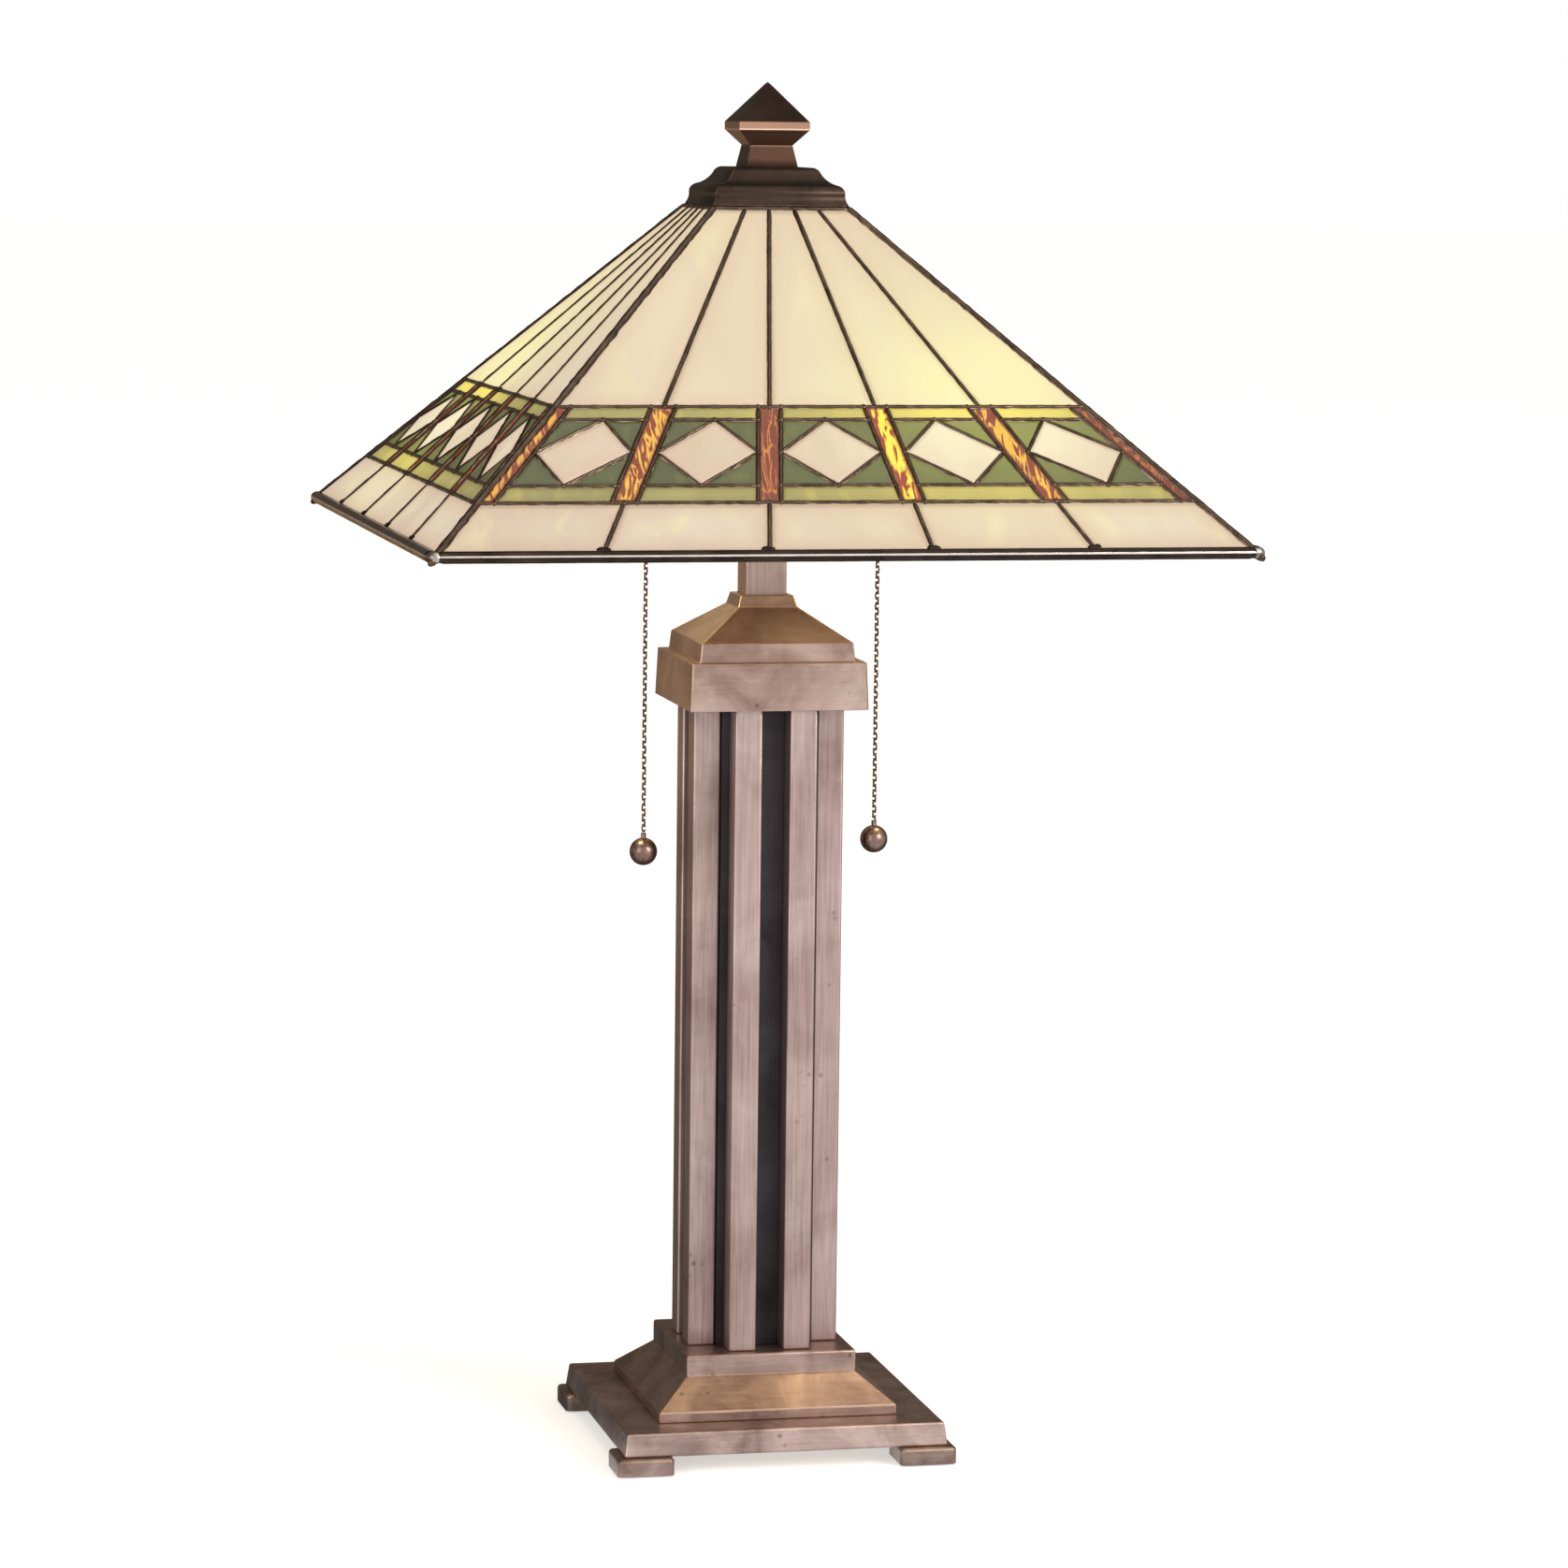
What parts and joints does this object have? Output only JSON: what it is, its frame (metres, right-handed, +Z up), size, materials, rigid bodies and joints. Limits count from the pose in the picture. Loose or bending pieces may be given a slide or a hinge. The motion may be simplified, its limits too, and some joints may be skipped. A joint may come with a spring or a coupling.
{
  "type": "stained glass table lamp",
  "caption": "Table lamp with a square pyramid stained glass shade, pull-chain sockets, a barred square column and a stepped bronze base.",
  "frame": {"origin": "middle of the footprint, on the surface that the pads stand on", "axes": "+Z up, front faces -Y, sockets lie along X"},
  "size_m": [0.366, 0.366, 0.622],
  "materials": {
    "bronze_casting": "rubbed antique bronze plating on a casting",
    "bronze_bar": "brushed antique copper plating, rounded edges worn lighter",
    "bronze_recess": "dark slate patina in the recesses",
    "dark_bronze": "dark oil-rubbed bronze, coppery on worn edges",
    "steel": "zinc-plated",
    "weight_iron": "rough cast",
    "felt": "dark felt",
    "black_plastic": "moulded, matt",
    "socket_brass": "antique brass plate",
    "fibre": "insulating fibre",
    "chain_metal": "antique bronze chain",
    "lamp_cap": "rolled screw cap",
    "bulb_glass": "frosted, lit",
    "solder_lead": "dark patina on solder beads, bright where rubbed",
    "cream_glass": "opalescent, smooth",
    "light_green_glass": "opalescent, mottled olive green",
    "dark_green_glass": "opalescent, mottled forest green",
    "pale_glass": "opalescent, pale pinkish cream",
    "amber_glass": "rippled transparent amber"
  },
  "bodies": {
    "root": {"felt_pads": "felt", "bottom_cover": "felt", "feet": "bronze_casting", "base_plate": "bronze_casting", "plinth": "bronze_casting", "capital": "bronze_casting", "neck_tube": "bronze_bar", "column_core": "bronze_recess", "column_bars_front": "bronze_bar", "column_bars_right": "bronze_bar", "column_bars_back": "bronze_bar", "column_bars_left": "bronze_bar", "foot_screws": "steel", "base_washer": "steel", "base_nut": "steel", "cluster_nuts": "steel", "seat_nut": "steel", "shade_seat": "steel", "riser_pipe": "steel", "upper_rod": "steel", "base_weight": "weight_iron", "cord_bushing": "black_plastic", "socket_interiors": "black_plastic", "cluster_body": "socket_brass", "socket_nipples": "socket_brass", "socket_caps": "socket_brass", "socket_shell_left": "socket_brass", "socket_shell_right": "socket_brass", "screw_shells": "socket_brass", "chain_spouts": "socket_brass", "socket_liners": "fibre"},
    "shade": {"shade_came_front": "solder_lead", "shade_came_right": "solder_lead", "shade_came_back": "solder_lead", "shade_came_left": "solder_lead", "shade_rim": "solder_lead", "shade_cap": "dark_bronze", "cream_upper_panes": "cream_glass", "cream_lower_panes": "cream_glass", "light_green_panes": "light_green_glass", "dark_green_panes": "dark_green_glass", "diamond_panes": "pale_glass", "amber_panes": "amber_glass"},
    "finial": {"finial": "dark_bronze", "finial_insert": "socket_brass"},
    "left_bulb": {"bulb_base_left": "lamp_cap", "bulb_glass_left": "bulb_glass"},
    "left_switch": {"switch_stem_left": "socket_brass"},
    "left_link": {"chain_link_left": "chain_metal"},
    "left_chain": {"pull_chain_left": "chain_metal", "pull_ball_left": "dark_bronze"},
    "right_bulb": {"bulb_base_right": "lamp_cap", "bulb_glass_right": "bulb_glass"},
    "right_switch": {"switch_stem_right": "socket_brass"},
    "right_link": {"chain_link_right": "chain_metal"},
    "right_chain": {"pull_chain_right": "chain_metal", "pull_ball_right": "dark_bronze"}
  },
  "joints": [
    {"name": "shade_turn", "type": "hinge", "parent": "root", "child": "shade", "pos_m": [0, 0, 0.5], "axis": [0, 0, 1], "continuous": true},
    {"name": "finial_turn", "type": "hinge", "parent": "root", "child": "finial", "pos_m": [0, 0, 0.59], "axis": [0, 0, 1], "continuous": true},
    {"name": "left_bulb_turn", "type": "hinge", "parent": "root", "child": "left_bulb", "pos_m": [-0.08, 0, 0.438], "axis": [-1, 0, 0], "continuous": true},
    {"name": "left_pull", "type": "slide", "parent": "root", "child": "left_switch", "axis": [0, 0, -1], "range_m": [0, 0.006], "stiffness_N_per_m": 900, "springref_m": -0.004},
    {"name": "left_swing_fore_aft", "type": "hinge", "parent": "left_switch", "child": "left_link", "pos_m": [-0.054, 0, 0.411], "axis": [1, 0, 0], "range_deg": [-25, 25]},
    {"name": "left_swing_sideways", "type": "hinge", "parent": "left_link", "child": "left_chain", "pos_m": [-0.054, 0, 0.411], "axis": [0, 1, 0], "range_deg": [-4, 25]},
    {"name": "right_bulb_turn", "type": "hinge", "parent": "root", "child": "right_bulb", "pos_m": [0.08, 0, 0.438], "axis": [1, 0, 0], "continuous": true},
    {"name": "right_pull", "type": "slide", "parent": "root", "child": "right_switch", "axis": [0, 0, -1], "range_m": [0, 0.006], "stiffness_N_per_m": 900, "springref_m": -0.004},
    {"name": "right_swing_fore_aft", "type": "hinge", "parent": "right_switch", "child": "right_link", "pos_m": [0.054, 0, 0.411], "axis": [1, 0, 0], "range_deg": [-25, 25]},
    {"name": "right_swing_sideways", "type": "hinge", "parent": "right_link", "child": "right_chain", "pos_m": [0.054, 0, 0.411], "axis": [0, 1, 0], "range_deg": [-25, 4]}
  ]
}
